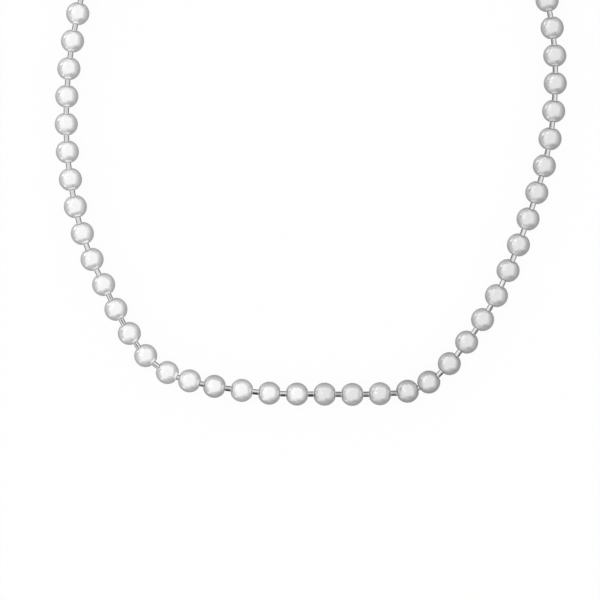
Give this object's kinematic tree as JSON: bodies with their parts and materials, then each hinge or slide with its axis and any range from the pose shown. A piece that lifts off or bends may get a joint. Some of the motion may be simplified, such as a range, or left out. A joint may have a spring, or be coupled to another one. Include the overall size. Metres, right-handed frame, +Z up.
{
  "type": "ball chain necklace",
  "caption": "Necklace of hollow metal balls strung on dumb-bell links, closed with a barrel clasp and laid flat as a loop.",
  "frame": {"origin": "on the surface that the chain lies on, in the middle of the loop's outer edges", "axes": "+Z up from the surface, +Y towards the clasp, +X to the right seen from above with the clasp at the far side"},
  "size_m": [0.1322, 0.1644, 0.0069],
  "materials": {
    "ball_metal": "polished silver",
    "link_metal": "drawn silver wire, bright",
    "clasp_metal": "pressed silver sheet, polished"
  },
  "bodies": {
    "root": {"balls": "ball_metal", "links": "link_metal", "clasp": "clasp_metal"}
  },
  "joints": []
}
